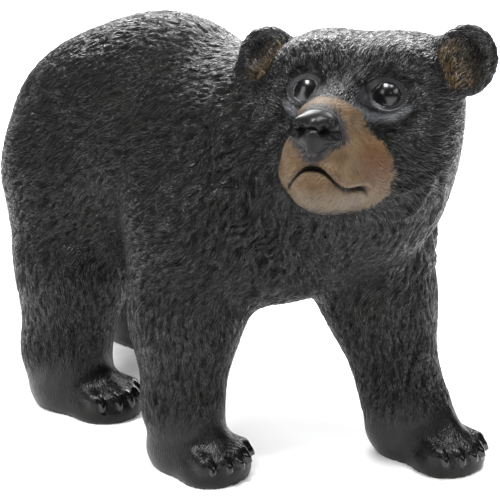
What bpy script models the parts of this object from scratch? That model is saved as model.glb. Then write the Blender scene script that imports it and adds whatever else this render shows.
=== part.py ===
"""Walking black bear, a garden sculpture cast in one piece and painted.

The bear faces -Y, its left side is +X and its four soles stand on z = 0.
It is drawn in units of its own length, so a place such as (0, 154, 281)
is a share of BEAR_LENGTH. A smooth distance field holds the form: masses
that flow into each other, with the face, ears, toes and locks carved on it.
A mesh blocked out from primitives is drawn onto that field.
"""
import bmesh
import bpy
import numpy as np
from mathutils import Matrix, Vector

# Driving sizes
BEAR_LENGTH = 0.46          # rump to the front of the head, metres
DRAWN_LENGTH = 620.0        # the same length in drawing units
UNIT = BEAR_LENGTH / DRAWN_LENGTH

# How finely the surface is meshed, in drawing units and triangles
GRAINS = (9.0, 3.1)         # edge of the mesh at each remesh, rough and then fine
TRIANGLES = 8800            # what is left of it in the finished solid, without its claws
FINE_CARE = 0.05            # how strongly the face and toes keep their triangles
FACE_REACH = 120            # from the middle of the face, in drawing units
TOE_HEIGHT = 50
SOLE_BAND = 0.9             # points this close to the ground lie on it
ORIGIN = (0.0, 0.0)         # where the middle of the outline goes, metres

# Trunk: centre, half sizes, tilt in degrees and blend of each mass
TRUNK = (
    ((0, 156, 282), (108, 127, 127), -9, 0),        # rump
    ((0, 60, 301), (114, 146, 143), 0, 40),         # barrel
    ((0, -75, 292), (106, 130, 119), 0, 40),        # shoulders
    ((-16, -115, 247), (66, 80, 71), 0, 30),         # brisket
)
NECK = ((4, -80, 312), (12, -190, 342), 100, 92, 40)
RUFF = ((17, -200, 310), (86, 82, 90), 36)

# Legs: joints, radii at them, then the paw's place, heading and size
LEGS = {
    "front_right": dict(hip=(-58, -62, 258), knee=(-82, -58, 160), ankle=(-91, -61, 66),
                        radii=(84, 54, 41), paw=(-92, -83), heading=7, size=(82, 120, 57)),
    "front_left": dict(hip=(68, -145, 258), knee=(90, -167, 165), ankle=(93, -198, 70),
                       radii=(84, 55, 42), paw=(102, -233), heading=-3, size=(82, 124, 54)),
    "hind_right": dict(hip=(-50, 150, 262), knee=(-72, 139, 165), ankle=(-81, 148, 66),
                       radii=(87, 61, 49), paw=(-75, 126), heading=8, size=(82, 152, 59)),
    "hind_left": dict(hip=(52, 185, 262), knee=(78, 206, 165), ankle=(102, 246, 66),
                      radii=(86, 60, 46), paw=(108, 233), heading=0, size=(80, 124, 58)),
}
TOES = 5
TOE_THICKNESS = 0.21        # share of the paw's half width
CLAW_LENGTH = 13            # drawing units
CLAW_RADIUS = 5.4
CLAW_TIP = 0.5              # radius at the tip, share of the radius at the root
LEG_BLEND = 26
LEG_REACH = 235             # no leg is further than this from its middle

# Head: it looks over the bear's right shoulder, chin up
HEAD_PLACE = (0, -214, 388)
HEAD_TURN = -63             # degrees about the upright axis
HEAD_LIFT = -13.5           # degrees, nose up
HEAD_ROLL = -1
HEAD_MIDDLE = (0, -40, -10)
HEAD_REACH = 150
FACE_MIDDLE = (0, -100, -25)
EYE = (37, -47, 10)         # centre of the left eye in the head's own frame
EYE_MIDLINE = 1.5           # what the eyes are mirrored about
EYE_BALL = 15.5
EYE_OPENING = (15, 12.3)    # half width and half height between the lids
EYE_TILT = 8                # degrees, the outer corner lower
EARS = ((-1, 28, 29, 93, 41), (1, 30, 33, 97, 46))      # side, half width, half height, x, z
MOUTH_TOP = -57             # height of the lips' line under the nose
MOUTH_DROP = 18             # how much lower it is at the sides
MOUTH_PIVOT = 60            # how far forward those angles are taken about
NECK_FOLDS = (
    ((45, -60, -80), (57, -42, -76), (70, -35, -71), (82, -28, -64), (91, -17, -55), (96, -6, -48)),
    ((51, -23, -100), (60, -17, -97), (68, -19, -88), (74, -23, -79), (82, -24, -68)),
    ((69, 18, -107), (79, 19, -91), (88, -2, -73), (93, -9, -56), (97, -2, -47)),
)
BROW_FOLD = ((-23, -53, 43), (-31, -56, 41), (-39, -57, 39), (-46, -57, 34), (-52, -56, 26))

# Locks of the ruff: rows from the shoulders to the cheeks, all round the throat
RUFF_START = (4, -70, 300)
RUFF_END = (14, -205, 330)
RUFF_ROWS = 9
RUFF_COLUMNS = 21
RUFF_SWEEP = 270            # degrees of the neck that the locks cover
RUFF_FOOT = 205             # no lock starts lower than this
LOCK_LENGTH = 24            # half of each
LOCK_WIDTH = 10
LOCK_HEIGHT = 4.6


def turned(x=0.0, y=0.0, z=0.0):
    """Rotation matrix for turns in degrees about x, then y, then z."""
    spin = Matrix.Rotation(np.radians(z), 3, 'Z') @ Matrix.Rotation(np.radians(y), 3, 'Y')
    return np.array(spin @ Matrix.Rotation(np.radians(x), 3, 'X'), np.float32)


def vec(*values):
    return np.array(values, np.float32)


# Distance to simple bodies

def ellipsoid(p, centre, half, spin=None):
    q = p - vec(*centre)
    if spin is not None:
        q = q @ spin
    half = vec(*half)
    near = np.sqrt(((q / half) ** 2).sum(1))
    steep = np.sqrt(((q / half ** 2) ** 2).sum(1))
    return near * (near - 1) / np.maximum(steep, 1e-6)


def round_cone(p, start, end, start_radius, end_radius):
    """Distance to the body that a ball sweeps as it goes from start to end."""
    start, end = vec(*start), vec(*end)
    along = end - start
    length2 = float(along @ along)
    taper = start_radius - end_radius
    slope2 = length2 - taper * taper
    q = p - start
    y = q @ along
    z = y - length2
    across = q * length2 - y[:, None] * along
    x2 = (across * across).sum(1)
    y2 = y * y * length2
    z2 = z * z * length2
    k = np.sign(taper) * taper * taper * x2
    side = (np.sqrt(np.maximum(x2 * slope2 / length2, 0)) + y * taper) / length2 - start_radius
    before = np.sqrt(np.maximum(x2 + y2, 0)) / length2 - start_radius
    after = np.sqrt(np.maximum(x2 + z2, 0)) / length2 - end_radius
    side = np.where(np.sign(y) * slope2 * y2 < k, before, side)
    return np.where(np.sign(z) * slope2 * z2 > k, after, side)


def rounded_box(p, centre, half, radius):
    q = np.abs(p - vec(*centre)) - (vec(*half) - radius)
    outside = np.sqrt((np.maximum(q, 0) ** 2).sum(1))
    return outside + np.minimum(q.max(1), 0) - radius


def blended(a, b, blend):
    """Union of two bodies with a fillet."""
    h = np.maximum(blend - np.abs(a - b), 0) / blend
    return np.minimum(a, b) - h * h * blend / 4


def carved(a, b, blend):
    """The first body with the second taken out of it, with a rounded rim."""
    h = np.maximum(blend - np.abs(a + b), 0) / blend
    return np.maximum(a, -b) + h * h * blend / 4


def within(p, centre, reach, body):
    """Distance to a body, worked out only near it."""
    margin = 50
    far = np.sqrt(((p - vec(*centre)) ** 2).sum(1))
    distance = (far - reach).astype(np.float32)
    near = far < reach + margin
    if near.any():
        distance[near] = body(p[near])
    return distance


# Small forms drawn over a body

def bell(x):
    return np.exp(-x * x)


def step(x, low, high):
    t = np.clip((x - low) / (high - low), 0, 1)
    return t * t * (3 - 2 * t)


def line_distance(p, points):
    nearest = np.full(len(p), np.inf, np.float32)
    for start, end in zip(points[:-1], points[1:]):
        start = vec(*start)
        along = vec(*end) - start
        t = np.clip(((p - start) @ along) / (along @ along), 0, 1)
        gap = np.sqrt(((p - start - t[:, None] * along) ** 2).sum(1))
        nearest = np.minimum(nearest, gap)
    return nearest


# Head, in its own frame: x to its left, -y forward, z up

HEAD_SPIN = turned(z=HEAD_TURN) @ turned(x=HEAD_LIFT) @ turned(y=HEAD_ROLL)


def in_head_frame(p):
    return (p - vec(*HEAD_PLACE)) @ HEAD_SPIN


def from_eyes(q):
    """Places in the head measured from the centre of the eye on the same side."""
    return np.column_stack((np.abs(q[:, 0] - EYE_MIDLINE), q[:, 1:])) - vec(*EYE)


def head_mass(q, softly_mirrored):
    d = ellipsoid(softly_mirrored, (26, 16, 6), (60, 74, 66))                       # skull
    d = blended(d, ellipsoid(softly_mirrored, (44, 6, -36), (37, 54, 54)), 26)      # cheeks
    d = blended(d, ellipsoid(softly_mirrored, (34, -26, 34), (32, 30, 22)), 16)     # brow
    d = blended(d, round_cone(q, (0, -36, 0), (0, -126, -24), 36, 22), 18)          # bridge
    d = blended(d, rounded_box(q, (0, -90, -52), (35, 56, 34), 31), 16)             # muzzle
    d = blended(d, ellipsoid(softly_mirrored, (19, -58, -56), (21, 46, 32)), 28)    # jowls
    d = blended(d, ellipsoid(q, (0, -94, -72), (33, 54, 27)), 10)                   # lower jaw
    return blended(d, round_cone(q, (52, 16, 40), (84, 10, 52), 24, 14), 16)        # left temple


def nose(q, mirrored):
    pad = ellipsoid(q, (0, -142, -21), (22, 15, 12))
    pad = blended(pad, ellipsoid(mirrored, (13, -146, -26), (11, 11, 10)), 5)
    pad = blended(pad, round_cone(q, (0, -148, -28), (0, -151, -43), 10, 4.5), 7)
    hole = ellipsoid(mirrored, (9.5, -158, -26), (4.2, 11, 4.6))
    slit = round_cone(mirrored, (11, -158, -28), (23, -149, -33), 3.0, 1.6)
    return carved(pad, np.minimum(hole, slit), 2.5)


def ear(q, side, half_width, half_height, x, z):
    lean = turned(z=-10 * side)
    shell = ellipsoid(q, (side * x, 2, z), (half_width, 13, half_height), lean)
    cup = ellipsoid(q, (side * (x - 2), -12, z - 2), (half_width * 0.68, 12, half_height * 0.68), lean)
    return carved(shell, cup, 5)


def eye_opening(at_eyes):
    """Distance in the plane of the lids to the edge of the almond-shaped opening."""
    tilted = at_eyes @ turned(y=EYE_TILT)
    wide, high = EYE_OPENING
    share = np.abs(tilted[:, 0] / wide) ** 1.75 + np.abs(tilted[:, 2] / high) ** 2
    return (np.sqrt(share) - 1) * high


def with_eyes(d, at_eyes):
    """Sockets, lids and balls; at_eyes is measured from each eye's centre."""
    d = carved(d, ellipsoid(at_eyes, (1, -16, 0), (19, 9, 15)), 8)
    lids = ellipsoid(at_eyes @ turned(y=EYE_TILT), (0, 2, 0), (18.6, 16.6, 15.2))
    opening = np.maximum(eye_opening(at_eyes), at_eyes[:, 1])
    d = blended(d, carved(lids, opening, 1.2), 3)
    return blended(d, ellipsoid(at_eyes, (0, 2, 0), (EYE_BALL, EYE_BALL, EYE_BALL)), 0.4)


def mouth_height(q):
    """Lips that part in a deep arch under the nose and again at each corner."""
    angle = np.degrees(np.arctan2(np.abs(q[:, 0]), -(q[:, 1] + MOUTH_PIVOT)))
    line = MOUTH_TOP - MOUTH_DROP * step(angle, 2, 22) + 2 * bell((angle - 34) / 8)
    over = q[:, 2] - line + 5 * step(angle, 42, 52)
    depth = 4 + 3 * bell(angle / 9) + 2.5 * bell((angle - 35) / 9)
    groove = np.where(over < 0, bell(over / 3.2), bell(over / 1.7))
    lips = 2.6 * bell((over - 6) / 4) - 1.2 * bell((over + 8) / 5) - depth * groove
    return lips * (1 - step(angle, 46, 56)) * (q[:, 1] < -MOUTH_PIVOT)


def eye_surround_height(at_eyes):
    """Crease round the lids, brow over them, bag and hollow under them."""
    out = np.sqrt(at_eyes[:, 0] ** 2 + at_eyes[:, 2] ** 2)
    round_eye = np.degrees(np.arctan2(at_eyes[:, 2], at_eyes[:, 0]))
    front = 1 - step(at_eyes[:, 1], 10, 24)
    over_eye = step(round_eye, -10, 35) * (1 - step(round_eye, 140, 175))
    under_eye = (1 - step(round_eye, -30, 0)) * step(round_eye, -160, -110)
    rim = eye_opening(at_eyes)
    height = 0.5 * bell((rim - 2) / 1.5) - 1.3 * bell((rim - 6.2) / 1.4)
    height += over_eye * 2.2 * bell((out - 27) / 4.5)
    height += under_eye * (3 * bell((out - 23) / 3.5) - 3.6 * bell((out - 35) / 7))
    return height * front


def face_height(p):
    """Height of the face's carving over its masses."""
    q = in_head_frame(p)
    height = mouth_height(q) + eye_surround_height(from_eyes(q))
    # line from the nose down to the lips
    parting = bell(q[:, 0] / 1.6) * step(-q[:, 1], 120, 140)
    height -= 2 * parting * step(q[:, 2], -60, -54) * (1 - step(q[:, 2], -46, -40))
    # furrow between the brows, then the folds of skin
    height -= 2 * bell(q[:, 0] / 9) * bell((q[:, 2] - 34) / 22) * (1 - step(q[:, 1], -30, 0))
    for fold in NECK_FOLDS:
        height += 3 * bell(line_distance(q, fold) / 4.5)
    return height + 1.6 * bell(line_distance(q, BROW_FOLD) / 4)


def head(p):
    q = in_head_frame(p)
    mirrored = np.column_stack((np.abs(q[:, 0]), q[:, 1:]))
    softness = 24
    soft = np.sqrt(q[:, 0] ** 2 + softness ** 2) - softness / 2
    softly_mirrored = np.column_stack((soft, q[:, 1:]))
    d = head_mass(q, softly_mirrored)
    d = blended(d, nose(q, mirrored), 5)
    for one_ear in EARS:
        d = blended(d, ear(q, *one_ear), 10)
    return with_eyes(d, from_eyes(q))


# Legs and trunk

def toe_tips(wide, long):
    """Where each toe ends, for a paw of that half width and half length."""
    tips = []
    for toe in range(TOES):
        across = 2 * toe / (TOES - 1) - 1
        tips.append((0.70 * wide * across, -long * (0.79 - 0.20 * across ** 2)))
    return tips


def paw(p, place, heading, size):
    """A paw on the ground, its toes towards -y before it is turned to its heading."""
    q = (p - vec(*place, 0)) @ turned(z=heading)
    wide, long, high = size[0] / 2, size[1] / 2, size[2]
    d = ellipsoid(q, (0, 0.10 * long, 0.22 * high), (0.88 * wide, 0.88 * long, 0.52 * high))
    d = blended(d, ellipsoid(q, (0, -0.42 * long, 0.14 * high), (wide, 0.56 * long, 0.46 * high)), 12)
    d = blended(d, round_cone(q, (0, 0.16 * long, 0.92 * high), (0, -0.36 * long, 0.50 * high),
                              0.70 * wide, 0.46 * wide), 14)
    thick = TOE_THICKNESS * wide
    for x, y in toe_tips(wide, long):
        back_height = (0.60 - 0.10 * abs(x) / wide) * high
        d = blended(d, round_cone(q, (0.8 * x, y + 0.40 * long, back_height), (x, y, 0.40 * high),
                                  0.80 * thick, 1.15 * thick), 5)
    return d


def leg(p, hip, knee, ankle, radii, paw_place, heading, size):
    foot = (ankle[0], ankle[1] - 4, 30)
    d = round_cone(p, hip, knee, radii[0], radii[1])
    d = blended(d, round_cone(p, knee, ankle, radii[1], radii[2]), 24)
    d = blended(d, round_cone(p, ankle, foot, radii[2], radii[2] - 2), 10)
    return blended(d, paw(p, paw_place, heading, size), 14)


def trunk(p):
    d = None
    for centre, half, tilt, blend in TRUNK:
        mass = ellipsoid(p, centre, half, turned(x=tilt))
        d = mass if d is None else blended(d, mass, blend)
    d = blended(d, round_cone(p, *NECK[:4]), NECK[4])
    return blended(d, ellipsoid(p, *RUFF[:2]), RUFF[2])


def form(p):
    """Distance from each point to the bear's skin, in drawing units, minus inside."""
    d = trunk(p)
    for g in LEGS.values():
        middle = (vec(*g["hip"]) + vec(*g["paw"], 0)) / 2
        limb = within(p, middle, LEG_REACH, lambda x: leg(
            x, g["hip"], g["knee"], g["ankle"], g["radii"], g["paw"], g["heading"], g["size"]))
        d = blended(d, limb, LEG_BLEND)
    middle = vec(*HEAD_PLACE) + HEAD_SPIN @ vec(*HEAD_MIDDLE)
    d = blended(d, within(p, middle, HEAD_REACH, head), 24)
    return np.maximum(d, -p[:, 2])


def form_and_normal(p):
    probe = 0.8
    here = form(p)
    rise = [form(p + probe * axis) - here for axis in np.eye(3, dtype=np.float32)]
    normal = np.stack(rise, 1)
    return here, normal / np.maximum(np.linalg.norm(normal, axis=1), 1e-6)[:, None]


def drawn_onto_form(p, rounds=10):
    longest, share = 12, 0.9
    for _ in range(rounds):
        distance, normal = form_and_normal(p)
        p = p - normal * np.clip(distance, -longest, longest)[:, None] * share
    return p


# Locks of the ruff

def coat_direction(normal):
    """The way the coat lies: back and down, along the skin."""
    way = np.zeros_like(normal) + vec(0, 0.55, -1)
    way -= normal * (way * normal).sum(1)[:, None]
    return way / np.maximum(np.linalg.norm(way, axis=1), 1e-6)[:, None]


def ruff_locks():
    """Middle, skin normal and direction of every lock, in rows round the neck."""
    start, axis = vec(*RUFF_START), vec(*RUFF_END) - vec(*RUFF_START)
    ahead = axis / np.linalg.norm(axis)
    side = np.cross(ahead, (0, 0, 1))
    side /= np.linalg.norm(side)
    up = np.cross(side, ahead)
    outside = 125
    seeds = []
    for row in range(RUFF_ROWS):
        for column in range(RUFF_COLUMNS):
            uneven = 0.25 * np.sin(5 * row + 3 * column) + 0.5 * (row % 2)
            angle = np.radians(RUFF_SWEEP * ((column + uneven) / RUFF_COLUMNS - 0.5))
            share = (row + 0.5) / RUFF_ROWS + 0.04 * np.sin(7 * column + row)
            seeds.append(start + axis * share + (side * np.sin(angle) - up * np.cos(angle)) * outside)
    middles = drawn_onto_form(np.array(seeds, np.float32), rounds=14)
    middles = middles[middles[:, 2] > RUFF_FOOT]
    normals = form_and_normal(middles)[1]
    return middles, normals, coat_direction(normals)


def lock_height(p):
    """Height of the locks over the skin, the highest one showing where they overlap."""
    height = np.zeros(len(p), np.float32)
    for i, (middle, normal, way) in enumerate(zip(*ruff_locks())):
        q = p - middle
        near = (q ** 2).sum(1) < (1.3 * LOCK_LENGTH) ** 2
        q = q[near]
        along = q @ way / LOCK_LENGTH
        curl = 0.35 * np.sin(2.6 * along + i)
        across = q @ np.cross(normal, way) / LOCK_WIDTH - curl
        half_width = np.sqrt(np.clip(1 - along ** 2, 1e-6, 1)) * (1 - 0.25 * along)
        body = np.clip(1 - (across / half_width) ** 2, 0, 1) * step(along, -1, 0.3) * (1 - step(along, 0.5, 1))
        size = LOCK_HEIGHT * (1 - 0.3 * np.sin(4 * i) ** 2)
        height[near] = np.maximum(height[near], size * body)
    return height


# Blockout from primitives

def add_ball(bm, centre, half, spin=np.eye(3)):
    """A sphere stretched to its half sizes, turned and put in its place."""
    place = Matrix.Translation(centre) @ Matrix(spin.tolist()).to_4x4() @ Matrix.Diagonal((*half, 1))
    bmesh.ops.create_uvsphere(bm, u_segments=32, v_segments=20, radius=1, matrix=place)


def add_taper(bm, start, end, start_radius, end_radius):
    """A tapered limb with a ball at each end."""
    start, end = Vector(start), Vector(end)
    along = end - start
    turn = along.to_track_quat('Z', 'Y').to_matrix().to_4x4()
    bmesh.ops.create_cone(bm, cap_ends=True, segments=32, radius1=start_radius, radius2=end_radius,
                          depth=along.length, matrix=Matrix.Translation((start + end) / 2) @ turn)
    add_ball(bm, start, (start_radius,) * 3)
    add_ball(bm, end, (end_radius,) * 3)


def block_out_head(bm):
    """Balls and a taper for the skull, cheeks, muzzle, bridge and ears."""
    def place(x, y, z):
        return (vec(*HEAD_PLACE) + HEAD_SPIN @ vec(x, y, z)).tolist()
    add_ball(bm, place(0, 14, 4), (84, 74, 66), HEAD_SPIN)
    add_ball(bm, place(0, 4, -38), (78, 54, 52), HEAD_SPIN)
    add_ball(bm, place(0, -84, -52), (42, 72, 44), HEAD_SPIN)
    add_taper(bm, place(0, -36, 0), place(0, -128, -24), 34, 22)
    for side, half_width, half_height, x, z in EARS:
        add_ball(bm, place(side * x, 2, z), (half_width, 13, half_height), HEAD_SPIN @ turned(z=-10 * side))


def block_out():
    """The rough bear: balls and tapers that overlap, for the remesh to fuse."""
    bm = bmesh.new()
    for centre, half, tilt, _ in TRUNK:
        add_ball(bm, centre, half, turned(x=tilt))
    add_taper(bm, *NECK[:4])
    add_ball(bm, *RUFF[:2])
    for g in LEGS.values():
        add_taper(bm, g["hip"], g["knee"], *g["radii"][:2])
        add_taper(bm, g["knee"], g["ankle"], *g["radii"][1:])
        wide, long, high = g["size"][0] / 2, g["size"][1] / 2, g["size"][2]
        spin = turned(z=g["heading"])
        toes = vec(*g["paw"], 0) + spin @ vec(0, -0.42 * long, 0)
        add_ball(bm, (*g["paw"], 0.35 * high), (0.9 * wide, long, 0.55 * high), spin)
        add_ball(bm, (*toes[:2].tolist(), 0.24 * high), (wide, 0.55 * long, 0.40 * high), spin)
    block_out_head(bm)
    return bm


# The finished object

def add_claws(bm):
    """A short curved claw on every toe, its root inside the toe."""
    for g in LEGS.values():
        wide, long, high = g["size"][0] / 2, g["size"][1] / 2, g["size"][2]
        thick = TOE_THICKNESS * wide
        paw_place = Matrix.Translation((*g["paw"], 0)) @ Matrix.Rotation(np.radians(g["heading"]), 4, 'Z')
        for x, y in toe_tips(wide, long):
            root = Vector((x, y - 0.62 * thick, 0.46 * high))
            tip = root + Vector((0.01 * x, -0.60, -0.80)) * CLAW_LENGTH
            turn = (tip - root).to_track_quat('Z', 'Y').to_matrix().to_4x4()
            bmesh.ops.create_cone(bm, cap_ends=True, segments=8, radius1=CLAW_RADIUS,
                                  radius2=CLAW_RADIUS * CLAW_TIP, depth=CLAW_LENGTH,
                                  matrix=paw_place @ Matrix.Translation((root + tip) / 2) @ turn)


def fuse_claws(bear):
    """Join the claws to the toes, as they are of one casting with them."""
    bm = bmesh.new()
    add_claws(bm)
    mesh = bpy.data.meshes.new("claws")
    bm.to_mesh(mesh)
    bm.free()
    claws = bpy.data.objects.new("claws", mesh)
    bpy.context.scene.collection.objects.link(claws)
    apply_modifier(bear, 'BOOLEAN', operation='UNION', object=claws)
    bpy.data.objects.remove(claws)


def evaluated_mesh(obj):
    graph = bpy.context.evaluated_depsgraph_get()
    return bpy.data.meshes.new_from_object(obj.evaluated_get(graph))


def apply_modifier(obj, kind, **settings):
    modifier = obj.modifiers.new(kind.title(), kind)
    for name, value in settings.items():
        setattr(modifier, name, value)
    mesh, old = evaluated_mesh(obj), obj.data
    obj.modifiers.clear()
    obj.data = mesh
    bpy.data.meshes.remove(old)


def mesh_points(mesh):
    flat = np.empty(len(mesh.vertices) * 3, np.float32)
    mesh.vertices.foreach_get("co", flat)
    return flat.reshape(-1, 3)


def set_mesh_points(mesh, points):
    mesh.vertices.foreach_set("co", points.astype(np.float32).ravel())
    mesh.update()


def sculpt(bear):
    """Draw the blocked-out surface onto the form, carve it and flatten the soles."""
    rough, fine = GRAINS
    apply_modifier(bear, 'REMESH', mode='VOXEL', voxel_size=rough)
    set_mesh_points(bear.data, drawn_onto_form(mesh_points(bear.data)))
    apply_modifier(bear, 'REMESH', mode='VOXEL', voxel_size=fine)
    points = drawn_onto_form(mesh_points(bear.data), rounds=4)
    points += form_and_normal(points)[1] * (lock_height(points) + face_height(points))[:, None]
    points[points[:, 2] < SOLE_BAND, 2] = 0
    set_mesh_points(bear.data, points)


def thin_out(bear):
    """Leave a light mesh, with its triangles kept where the carving is small."""
    points = mesh_points(bear.data)
    face = vec(*HEAD_PLACE) + HEAD_SPIN @ vec(*FACE_MIDDLE)
    fine = np.linalg.norm(points - face, axis=1) < FACE_REACH
    fine |= (points[:, 2] < TOE_HEIGHT) & (points[:, 2] > 0)
    plain = bear.vertex_groups.new(name="plain")
    plain.add(np.flatnonzero(fine).tolist(), 0.2, 'REPLACE')
    plain.add(np.flatnonzero(~fine).tolist(), 1.0, 'REPLACE')
    faces = sum(len(face.vertices) - 2 for face in bear.data.polygons)
    apply_modifier(bear, 'DECIMATE', decimate_type='COLLAPSE', ratio=TRIANGLES / faces,
                   vertex_group=plain.name, vertex_group_factor=FINE_CARE)
    bear.vertex_groups.clear()


def to_real_size(mesh):
    """Metres, with the middle of the outline over the origin and the soles on z = 0."""
    points = mesh_points(mesh) * UNIT
    low, high = points.min(0), points.max(0)
    points[:, :2] -= (low[:2] + high[:2]) / 2 - vec(*ORIGIN)
    points[:, 2] -= low[2]
    points[points[:, 2] < SOLE_BAND * UNIT, 2] = 0
    set_mesh_points(mesh, points)


def painted_resin():
    material = bpy.data.materials.new("painted_resin")
    material.use_nodes = True
    shader = material.node_tree.nodes["Principled BSDF"]
    shader.inputs["Base Color"].default_value = (0.022, 0.022, 0.025, 1)
    shader.inputs["Roughness"].default_value = 0.45
    shader.inputs["Metallic"].default_value = 0
    return material


def make_bear(collection):
    bm = block_out()
    mesh = bpy.data.meshes.new("bear")
    bm.to_mesh(mesh)
    bm.free()
    bear = bpy.data.objects.new("bear", mesh)
    collection.objects.link(bear)
    sculpt(bear)
    thin_out(bear)
    fuse_claws(bear)
    to_real_size(bear.data)
    bear.data.materials.append(painted_resin())
    bear.data.shade_smooth()
    return bear


def main():
    for obj in list(bpy.data.objects):
        bpy.data.objects.remove(obj)
    collection = bpy.data.collections.new("bear_sculpture")
    bpy.context.scene.collection.children.link(collection)
    make_bear(collection)


main()
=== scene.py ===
"""Looks of the walking bear: a resin casting painted black with a tan muzzle.

The CAD solid is refined into one fine skin. It is drawn in units of the bear's
own length, as the solid is, onto the same smooth distance field, and then the
face, locks and tooled hair are carved on it. Masks worked out from the place
on the figure carry the paint into one node material.
"""

import bmesh
import bpy
import numpy as np
from mathutils import Matrix, Vector


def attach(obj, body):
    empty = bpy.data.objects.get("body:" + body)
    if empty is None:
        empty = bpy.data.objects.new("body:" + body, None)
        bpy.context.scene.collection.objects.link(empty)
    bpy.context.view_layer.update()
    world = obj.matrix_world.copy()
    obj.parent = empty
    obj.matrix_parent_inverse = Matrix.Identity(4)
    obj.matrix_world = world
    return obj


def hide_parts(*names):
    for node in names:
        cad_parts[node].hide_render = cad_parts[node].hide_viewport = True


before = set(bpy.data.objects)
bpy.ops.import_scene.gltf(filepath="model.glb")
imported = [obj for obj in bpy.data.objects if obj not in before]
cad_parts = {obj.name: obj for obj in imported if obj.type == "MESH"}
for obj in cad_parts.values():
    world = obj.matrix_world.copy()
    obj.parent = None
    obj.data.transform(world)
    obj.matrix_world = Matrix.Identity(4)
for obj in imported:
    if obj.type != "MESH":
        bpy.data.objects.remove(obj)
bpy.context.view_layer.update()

# The figure's own units, as the solid has them
BEAR_LENGTH = 0.46
DRAWN_LENGTH = 620.0
UNIT = BEAR_LENGTH / DRAWN_LENGTH
OUTLINE_MIDDLE = (4.44, -14.26)     # drawing units, over the origin

# Mesh and relief
GRAIN = 1.5                 # edge of the mesh that is carved, in drawing units
SKIN_TRIANGLES = 196000
FINE_CARE = 0.05            # how far the thinning of the mesh spares the fine places
HAIR_DEPTH = 1.5            # depth of the finest hairs, which are in the material
SOLE_BAND = 0.9             # what lies lower than this is pressed flat, to stand on
SEED = 7
TUFTS = dict(spacing=7.5, length=11, width=3.4, seed=SEED)
STROKES = dict(spacing=4.2, length=6.5, width=2.0, seed=SEED + 1)

# Trunk: centre, half sizes, tilt in degrees and blend of each mass
TRUNK = (
    ((0, 156, 282), (108, 127, 127), -9, 0),        # rump
    ((0, 60, 301), (114, 146, 143), 0, 40),         # barrel
    ((0, -75, 292), (106, 130, 119), 0, 40),        # shoulders
    ((-16, -115, 247), (66, 80, 71), 0, 30),        # brisket
)
NECK = ((4, -80, 312), (12, -190, 342), 100, 92, 40)
RUFF = ((17, -200, 310), (86, 82, 90), 36)

# Legs: joints, radii at them, then the paw's place, heading and size
LEGS = {
    "front_right": dict(hip=(-58, -62, 258), knee=(-82, -58, 160), ankle=(-91, -61, 66),
                        radii=(84, 54, 41), paw=(-92, -83), heading=7, size=(82, 120, 57)),
    "front_left": dict(hip=(68, -145, 258), knee=(90, -167, 165), ankle=(93, -198, 70),
                       radii=(84, 55, 42), paw=(102, -233), heading=-3, size=(82, 124, 54)),
    "hind_right": dict(hip=(-50, 150, 262), knee=(-72, 139, 165), ankle=(-81, 148, 66),
                       radii=(87, 61, 49), paw=(-75, 126), heading=8, size=(82, 152, 59)),
    "hind_left": dict(hip=(52, 185, 262), knee=(78, 206, 165), ankle=(102, 246, 66),
                      radii=(86, 60, 46), paw=(108, 233), heading=0, size=(80, 124, 58)),
}
TOES = 5
TOE_THICKNESS = 0.21
CLAW_LENGTH = 13
CLAW_RADIUS = 5.4
CLAW_TIP = 0.5
LEG_BLEND = 26
LEG_REACH = 235             # a leg's distance is worked out this far from its middle

# Head: it looks over the bear's right shoulder, chin up
HEAD_PLACE = (0, -214, 388)
HEAD_TURN = -63
HEAD_LIFT = -13.5
HEAD_ROLL = -1
HEAD_MIDDLE = (0, -40, -10)
HEAD_REACH = 150
EYE = (37, -47, 10)
EYE_MIDLINE = 1.5
EYE_BALL = 15.5
EYE_OPENING = (15, 12.3)    # half width and half height between the lids
EYE_TILT = 8
EARS = ((-1, 28, 29, 93, 41), (1, 30, 33, 97, 46))      # side, half sizes, then place
SNOUT_PLACE = (0, -95, -45)
SNOUT_REACH = (75, 85, 70)  # half sizes of the space that holds the tan snout
MOUTH_TOP = -57
MOUTH_DROP = 18
MOUTH_PIVOT = 60
NECK_FOLDS = (
    ((45, -60, -80), (57, -42, -76), (70, -35, -71), (82, -28, -64), (91, -17, -55), (96, -6, -48)),
    ((51, -23, -100), (60, -17, -97), (68, -19, -88), (74, -23, -79), (82, -24, -68)),
    ((69, 18, -107), (79, 19, -91), (88, -2, -73), (93, -9, -56), (97, -2, -47)),
)
BROW_FOLD = ((-23, -53, 43), (-31, -56, 41), (-39, -57, 39), (-46, -57, 34), (-52, -56, 26))
NOSE_TIP = (0, -160, -30)

# Locks of the ruff
RUFF_START = (4, -70, 300)
RUFF_END = (14, -205, 330)
RUFF_ROWS = 9
RUFF_COLUMNS = 21
RUFF_SWEEP = 270
RUFF_FOOT = 205
LOCK_LENGTH = 24
LOCK_WIDTH = 10
LOCK_HEIGHT = 4.6


def turned(x=0.0, y=0.0, z=0.0):
    """Rotation matrix for turns in degrees about x, then y, then z."""
    spin = Matrix.Rotation(np.radians(z), 3, 'Z') @ Matrix.Rotation(np.radians(y), 3, 'Y')
    return np.array(spin @ Matrix.Rotation(np.radians(x), 3, 'X'), np.float32)


def vec(*values):
    return np.array(values, np.float32)


def unit_rows(v):
    return v / np.maximum(np.linalg.norm(v, axis=1), 1e-6)[:, None]


# Distance to simple bodies

def ellipsoid(p, centre, half, spin=None):
    q = p - vec(*centre)
    if spin is not None:
        q = q @ spin
    half = vec(*half)
    near = np.sqrt(((q / half) ** 2).sum(1))
    steep = np.sqrt(((q / half ** 2) ** 2).sum(1))
    return near * (near - 1) / np.maximum(steep, 1e-6)


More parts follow.
